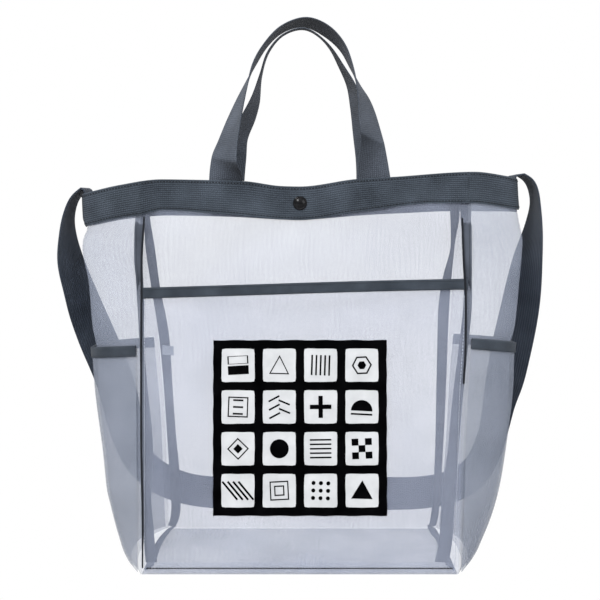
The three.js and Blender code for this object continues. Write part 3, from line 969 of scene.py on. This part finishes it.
# Stops along the near and the far edge of the shoulder strap, from left to right.
STRAP = [
    ((-241.5, -25, 416.5), (-241.5, 25, 416.5)),
    ((-250, -25, 410), (-250, 25, 410)),
    ((-262, -24, 386), (-259, 24, 385.5)),
    ((-267.5, -21, 361.5), (-257, 24, 362.5)),
    ((-270.5, -17, 339), (-250.5, 25, 339.5)),
    ((-266.5, -2, 295.5), (-235, 31, 297)),
    ((-264.5, 15, 269.5), (-224.5, 39, 268.5)),
    ((-259, 30, 241.5), (-213.5, 46, 239.5)),
    ((-240.5, 48, 183), (-196.5, 60, 183.5)),
    ((-226.5, 67, 115), (-187.5, 75, 118.5)),
    ((-212.5, 79, 78), (-179, 84, 95)),
    ((-186.5, 90, 47.5), (-160, 89, 78.5)),
    ((-149, 99, 28.5), (-134.5, 90, 68)),
    ((-106, 105, 20), (-103.5, 90, 64)),
    ((0, 106, 18), (0, 90, 63.5)),
    ((112.5, 106, 18), (111, 90, 63.5)),
    ((155, 105, 20), (144, 90, 64)),
    ((192.5, 99, 29.5), (176, 90, 69.5)),
    ((222, 89, 49.5), (200, 89, 83)),
    ((241, 68, 89), (213.5, 88, 107)),
    ((250, 58, 129), (219.5, 81, 132)),
    ((257, 57, 157.5), (220, 67, 158)),
    ((264, 47, 184.5), (221, 58, 185)),
    ((269.5, 36, 219.5), (224, 49, 218.5)),
    ((275, 14, 283.5), (235, 38, 282.5)),
    ((271.5, -11, 334.5), (245.5, 27, 336)),
    ((267.5, -23, 381.5), (261, 25, 383)),
    ((265, -24, 400), (264.5, 25, 400)),
    ((262.5, -25, 414), (262.5, 25, 414)),
    ((256.5, -25, 426.5), (256.5, 25, 426.5)),
    ((247, -25, 432), (247, 25, 432)),
]


def along_curve(stops, count):
    """Both edge lines of a strap, resampled smoothly and evenly through its stops."""
    first, second = (np.array([stop[k] for stop in stops], float) for k in (0, 1))
    middle = (first + second) / 2
    reach = np.concatenate([[0], np.cumsum(np.linalg.norm(np.diff(middle, axis=0), axis=1))])
    even = np.linspace(0, reach[-1], count)

    def smooth(values):
        tangents = np.gradient(values, reach, axis=0)
        i = np.clip(np.searchsorted(reach, even, side="right") - 1, 0, len(reach) - 2)
        h = (reach[i + 1] - reach[i])[:, None]
        t = ((even - reach[i])[:, None]) / h
        return (
            values[i] * (1 + 2 * t) * (1 - t) ** 2 + tangents[i] * h * t * (1 - t) ** 2
            + values[i + 1] * t ** 2 * (3 - 2 * t) + tangents[i + 1] * h * t ** 2 * (t - 1)
        )

    def relax(line):
        for _ in range(6):
            line[1:-1] = 0.5 * line[1:-1] + 0.25 * (line[:-2] + line[2:])
        return line

    return relax(smooth(first)), relax(smooth(second))


def webbing_strap(name, stops, count, thickness, material, cup=0.0, edge=0.04, creases=()):
    """Webbing through its stops, which may cup across its width by a share from flat."""
    first, second = along_curve(stops, count)
    shares, fullness = rounded(12, edge)
    points = first[None] * (1 - shares[:, None, None]) + second[None] * shares[:, None, None]
    normals = grid_normals(points)
    points = points + normals * (cup * 4 * shares * (1 - shares))[:, None, None]
    for (x1, z1), (x2, z2), height in creases:
        # A crease runs across the webbing: it stands out there and falls away on both sides.
        above = points[..., 2] - (z1 + (points[..., 0] - x1) / (x2 - x1) * (z2 - z1))
        near = np.clip((points[..., 0] * np.sign(x1) - 52) / 14, 0, 1)
        ridge = np.where(above < 0, np.exp(above / 8), np.exp(-above / 20))
        points[..., 1] -= height * ridge * near
    return sheet(name, points, thickness * fullness[:, None], material)


def handle_end(side, end):
    """A handle's sewn end, flat behind the band."""
    foot = front_foot if side == FRONT else back_foot
    x = end * HANDLE_LEG + np.linspace(-HALF_HANDLE, HALF_HANDLE, 22)
    share = x / np.where(x < 0, left_seam(MOUTH), right_seam(MOUTH))
    low, high = foot(x) + 3, 424.5
    rises = np.linspace(0, 1, 16)
    grid = np.stack([wall(side, share, low + (high - low) * rise, -1.8) for rise in rises])
    word = "left" if end == LEFT else "right"
    wall_word = "front" if side == FRONT else "back"
    if side == BACK:
        grid = grid[:, ::-1]
    piece = sheet(f"{wall_word}_handle_{word}_tail", grid, 1.4, HANDLE_WEBBING)
    attach = on_front if side == FRONT else on_root
    declare(attach(piece), "webbing", f"{wall_word}_handle_{word}_end")


HANDLE_CREASES = (
    ((-98.6, 451.0), (-70.6, 444.3), 4.5),
    ((68.3, 474.8), (94.0, 464.5), 4.5),
)


def build_handles():
    for side, word, stops, body, creases in (
        (FRONT, "front", FRONT_HANDLE, "front_wall", HANDLE_CREASES),
        (BACK, "back", BACK_HANDLE, "root", ()),
    ):
        piece = webbing_strap(
            f"{word}_handle_webbing", stops, 230, 1.5, HANDLE_WEBBING, 0.5, creases=creases)
        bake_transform(piece)
        declare(piece, "webbing", f"{word}_handle")
        for end in (LEFT, RIGHT):
            handle_end(side, end)


build_handles()

# ------------------------------------------------------------------ shoulder strap


def strap_arch(side):
    """A sewn end of the strap, up the inside of the side and over the rim."""
    reach = float((left_reach if side == LEFT else right_reach)(405.0))
    rim = 409.0 if side == LEFT else 427.0
    top = (241.5, 416.5) if side == LEFT else (247.0, 432.0)
    inside = reach - 2.4
    line = [
        (inside, rim - 32), (inside, rim - 16), (inside, rim), (inside + 0.3, rim + 3.0),
        ((inside + top[0]) / 2 - 0.3, top[1] - 1.2), top,
    ]
    return [((side * x, -25.0, z), (side * x, 25.0, z)) for x, z in line]


def build_strap():
    piece = webbing_strap("shoulder_strap_webbing", STRAP, 420, 1.9, STRAP_WEBBING)
    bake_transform(piece)
    declare(piece, "strap_webbing", "shoulder_strap")
    for side, word in ((LEFT, "left"), (RIGHT, "right")):
        piece = webbing_strap(f"strap_{word}_tail", strap_arch(side), 60, 1.7, STRAP_WEBBING)
        declare(on_root(piece), "strap_webbing", f"strap_{word}_end")


build_strap()

# ------------------------------------------------------------------ snap


def turned(name, profile, place_y, direction, material, sides=56):
    """A turned piece whose axis runs along Y. profile holds (radius, distance) pairs."""
    vertices, faces, uvs = [], [], []
    for radius, along in profile:
        for k in range(sides):
            turn = 2 * math.pi * k / sides
            up = SNAP_HEIGHT + radius * math.sin(turn)
            vertices.append((radius * math.cos(turn), place_y + direction * along, up))
            uvs.append((radius * turn, along))
    rings = len(profile)
    for r in range(rings - 1):
        for k in range(sides):
            a, b = r * sides + k, r * sides + (k + 1) % sides
            face = (a, b, b + sides, a + sides)
            faces.append(face if direction > 0 else face[::-1])
    if profile[0][0] > 0 and profile[0] != profile[-1]:
        cap = tuple(range(sides))
        faces.append(cap[::-1] if direction > 0 else cap)
        cap = tuple((rings - 1) * sides + k for k in range(sides))
        faces.append(cap if direction > 0 else cap[::-1])
    return make_object(name, vertices, faces, material, uvs)


def build_snap():
    cap = [
        (7.3, 0.0), (7.7, 0.25), (7.8, 0.8), (7.5, 1.4), (6.9, 1.75), (6.3, 1.8), (5.9, 1.55),
        (5.5, 1.55), (5.0, 1.9), (4.0, 2.45), (2.8, 2.85), (1.4, 3.05), (0.05, 3.1),
    ]
    face = SNAP_GAP + BAND_OUT + BAND_THICK / 2 + 0.05
    declare(on_front(turned("snap_front_cap", cap, -face, -1, LACQUER)), "snap", "snap_cap_front")
    declare(on_root(turned("snap_back_cap", cap, face, 1, LACQUER)), "snap", "snap_cap_back")
    inner = SNAP_GAP - 0.7
    socket = [
        (2.9, 0.0), (5.5, 0.0), (6.0, 0.35), (6.0, 1.5), (5.5, 2.05), (4.6, 2.2), (3.4, 2.2),
        (2.9, 1.9), (2.9, 0.0),
    ]
    declare(on_front(turned("snap_ring", socket, -inner, 1, LACQUER)), "snap", "snap_socket")
    stud = [
        (6.0, 0.0), (6.0, 1.2), (5.6, 1.4), (2.5, 1.6), (2.35, 2.4), (2.55, 3.8), (2.2, 4.3),
        (0.05, 4.35),
    ]
    declare(on_root(turned("snap_post", stud, inner, -1, LACQUER)), "snap", "snap_stud")


build_snap()

# ------------------------------------------------------------------ printed square

TILE = 0.193
MARGIN = 0.047
GAP = (1 - 2 * MARGIN - 4 * TILE) / 3


def on_print(points, out):
    """Shares of the printed square, from its lower left corner, as places on the pocket."""
    points = np.asarray(points, float)
    x = PRINT_SIZE * (points[:, 0] - 0.5)
    z = PRINT_FOOT + PRINT_SIZE * points[:, 1]
    return pocket_place(x, z, out)


def plates(name, outlines, out, thickness, material):
    """Thin flat pieces with the given outlines (shares of the square), lying on the pocket."""
    vertices, faces, uvs = [], [], []
    for outline in outlines:
        outline = np.asarray(outline, float)
        count, base = len(outline), len(vertices)
        hub = outline.mean(axis=0)[None]
        flat = np.concatenate([outline, hub])
        for level in (out + thickness, out):
            vertices.extend(on_print(flat, level))
            uvs.extend(flat * PRINT_SIZE)
        front, back = base, base + count + 1
        for k in range(count):
            after = (k + 1) % count
            faces.append((front + k, front + after, front + count))
            faces.append((back + after, back + k, back + count))
            faces.append((front + after, front + k, back + k, back + after))
    return make_object(name, vertices, faces, material, uvs, smooth=False)


def disc(x, y, radius, count=40, end=2 * math.pi):
    """A round shape with count corners, or its upper half where end is pi."""
    turn = np.linspace(0, end, count, endpoint=end < 2 * math.pi)
    return np.stack([x + radius * np.cos(turn), y + radius * np.sin(turn)], axis=1)


def bar(x, y, width, height, lean=0.0):
    corners = np.array([(-0.5, -0.5), (0.5, -0.5), (0.5, 0.5), (-0.5, 0.5)]) * (width, height)
    turn = math.radians(lean)
    spin = np.array([[math.cos(turn), math.sin(turn)], [-math.sin(turn), math.cos(turn)]])
    return corners @ spin + (x, y)


def outline_of(shape, width=0.05):
    """The outline of a convex shape, as star-shaped pieces of a line of the given width."""
    shape = np.asarray(shape, float)
    hub = shape.mean(axis=0)
    size = np.linalg.norm(shape - hub, axis=1).mean()
    inner = hub + (shape - hub) * (1 - width / size)
    count = len(shape)
    after = [(k + 1) % count for k in range(count)]
    return [np.array([shape[k], shape[n], inner[n], inner[k]]) for k, n in enumerate(after)]


def motifs(number):
    """A plain geometric pattern for one tile, in shares of the tile about its middle."""
    third = (-0.22, 0.0, 0.22)
    checks = ((-0.2, -0.2), (0.2, -0.2), (0, 0), (-0.2, 0.2), (0.2, 0.2))
    chevrons = [(-0.15, 25), (0.15, -25), (-0.15, 25), (0.15, -25), (-0.15, 25)]
    patterns = [
        lambda: [bar(x, 0, 0.06, 0.70, 40) for x in (-0.24, -0.08, 0.08, 0.24)],
        lambda: outline_of(bar(0, 0, 0.56, 0.56)) + outline_of(bar(0, 0, 0.30, 0.30)),
        lambda: [disc(x, y, 0.06, 20) for x in third for y in third],
        lambda: [np.array([(-0.32, -0.24), (0.32, -0.24), (0.0, 0.30)])],
        lambda: outline_of(bar(0, 0, 0.46, 0.46, 45)) + [bar(0, 0, 0.2, 0.2, 45)],
        lambda: [disc(0, 0, 0.28)],
        lambda: [bar(0, y, 0.64, 0.045) for y in (-0.26, -0.13, 0.0, 0.13, 0.26)],
        lambda: [bar(x, y, 0.2, 0.2) for x, y in checks],
        lambda: [bar(0, y, 0.30, 0.05) for y in (-0.2, 0.0, 0.2)] + outline_of(bar(0, 0, 0.6, 0.6)),
        lambda: [bar(x, -0.25 + 0.125 * k, 0.36, 0.05, lean) for k, (x, lean) in enumerate(chevrons)],
        lambda: [bar(0, 0, 0.64, 0.13), bar(0, 0.195, 0.13, 0.26), bar(0, -0.195, 0.13, 0.26)],
        lambda: [disc(0, -0.12, 0.32, 30, math.pi)] + [bar(0, -0.22, 0.64, 0.05)],
        lambda: [bar(0, -0.14, 0.62, 0.26)] + outline_of(bar(0, 0.16, 0.62, 0.24), 0.04),
        lambda: outline_of(np.array([(-0.3, -0.26), (0.3, -0.26), (0.0, 0.30)]), 0.06),
        lambda: [bar(x, 0, 0.05, 0.60) for x in (-0.26, -0.13, 0.0, 0.13, 0.26)],
        lambda: outline_of(disc(0, 0, 0.30, 6), 0.05) + [disc(0, 0, 0.13, 6)],
    ]
    return patterns[number]()


def build_print():
    side = np.linspace(0, 1, 60)
    x, y = np.meshgrid(side, side)
    # The print's outer edge is a little ragged.
    ragged = 0.0016 * np.sin(37 * x + 3 * y) * (np.abs(y - 0.5) > 0.49)
    ragged = ragged + 0.0014 * np.sin(41 * y) * (np.abs(x - 0.5) > 0.49)
    flat = np.stack([x + ragged, y + ragged], axis=-1).reshape(-1, 2)
    grid = on_print(flat, 0.45).reshape(60, 60, 3)
    base = sheet("print_square", grid, 0.18, INK)
    turn = np.linspace(0, 2 * math.pi, 48, endpoint=False)
    around = np.stack([np.cos(turn), np.sin(turn)], axis=1)
    square = np.minimum(1 / np.abs(around).max(axis=1), 1.365)
    tiles, marks = [], []
    for column in range(4):
        for row in range(4):
            hub = MARGIN + TILE / 2 + np.array([column, row]) * (TILE + GAP)
            hand = 1 + 0.008 * np.sin(3 * turn + column * 2.1 + row)
            hand = hand + 0.004 * np.sin(7 * turn + row * 1.7)
            tiles.append(hub + TILE / 2 * 0.985 * (square * hand)[:, None] * around)
            lean = math.radians(3.0 * math.sin(column * 1.9 + row * 2.7))
            spin = np.array([[math.cos(lean), math.sin(lean)], [-math.sin(lean), math.cos(lean)]])
            marks.extend(hub + TILE * (shape @ spin) for shape in motifs(4 * row + column))
    pale = plates("print_tiles", tiles, 0.58, 0.14, PALE_INK)
    dark = plates("print_motifs", marks, 0.76, 0.14, INK)
    for piece in (base, pale, dark):
        declare(on_front(piece), "print", "print_patch")


build_print()

# ------------------------------------------------------------------ side label


def build_label():
    low, high = (Vector(corner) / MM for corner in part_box("side_label"))
    y = (low.y + high.y) / 2
    x = np.linspace(low.x - 0.5, high.x + 0.5, 16)[None, :]
    z = np.linspace(low.z, high.z, 14)[:, None]
    x, z = np.broadcast_arrays(x, z)
    share = (x - low.x) / (high.x - low.x)
    curl = 1.8 * np.clip(share, 0, 1) ** 2
    grid = np.stack([x, y + curl, z - 1.5 * share], axis=-1)
    declare(on_root(sheet("blank_label", grid, 0.5, LABEL)), "label", "side_label")
    path = grid[2:-2, 2] + (0, -0.35, 0)
    normals = np.broadcast_to((0.0, -1.0, 0.0), path.shape)
    piece = stitches("blank_label_stitches", path, normals, PALE_THREAD, 1.4, 2.0, 0.18)
    declare(on_root(piece), "label")


build_label()

# ------------------------------------------------------------------ floor


def build_floor():
    count = 9
    x, y = np.meshgrid(np.linspace(-6000, 6000, count), np.linspace(-3500, 9000, count))
    grid = np.stack([x, y, np.full(x.shape, -0.25)], axis=-1)
    shade = Shade("floor_paper", roughness=0.9, specular=0.0)
    shade.colour(shade.noise(3, 2), (0.44, 0.44, 0.45), (0.48, 0.48, 0.48))
    glow = shade.node("Emission", {"Color": (1, 1, 1, 1), "Strength": 1.0})
    seen = shade.math("MULTIPLY", shade.node("LightPath").outputs["Is Camera Ray"], 1.06)
    mix = shade.node("MixShader", {0: seen, 1: shade.shader.outputs[0], 2: glow.outputs[0]})
    shade.feed(shade.tree.nodes["Material Output"].inputs["Surface"], mix.outputs[0])
    corners = [r * count + c for r in range(count - 1) for c in range(count - 1)]
    faces = [(a, a + 1, a + count + 1, a + count) for a in corners]
    floor = make_object("floor", grid.reshape(-1, 3), faces, shade.material)


build_floor()
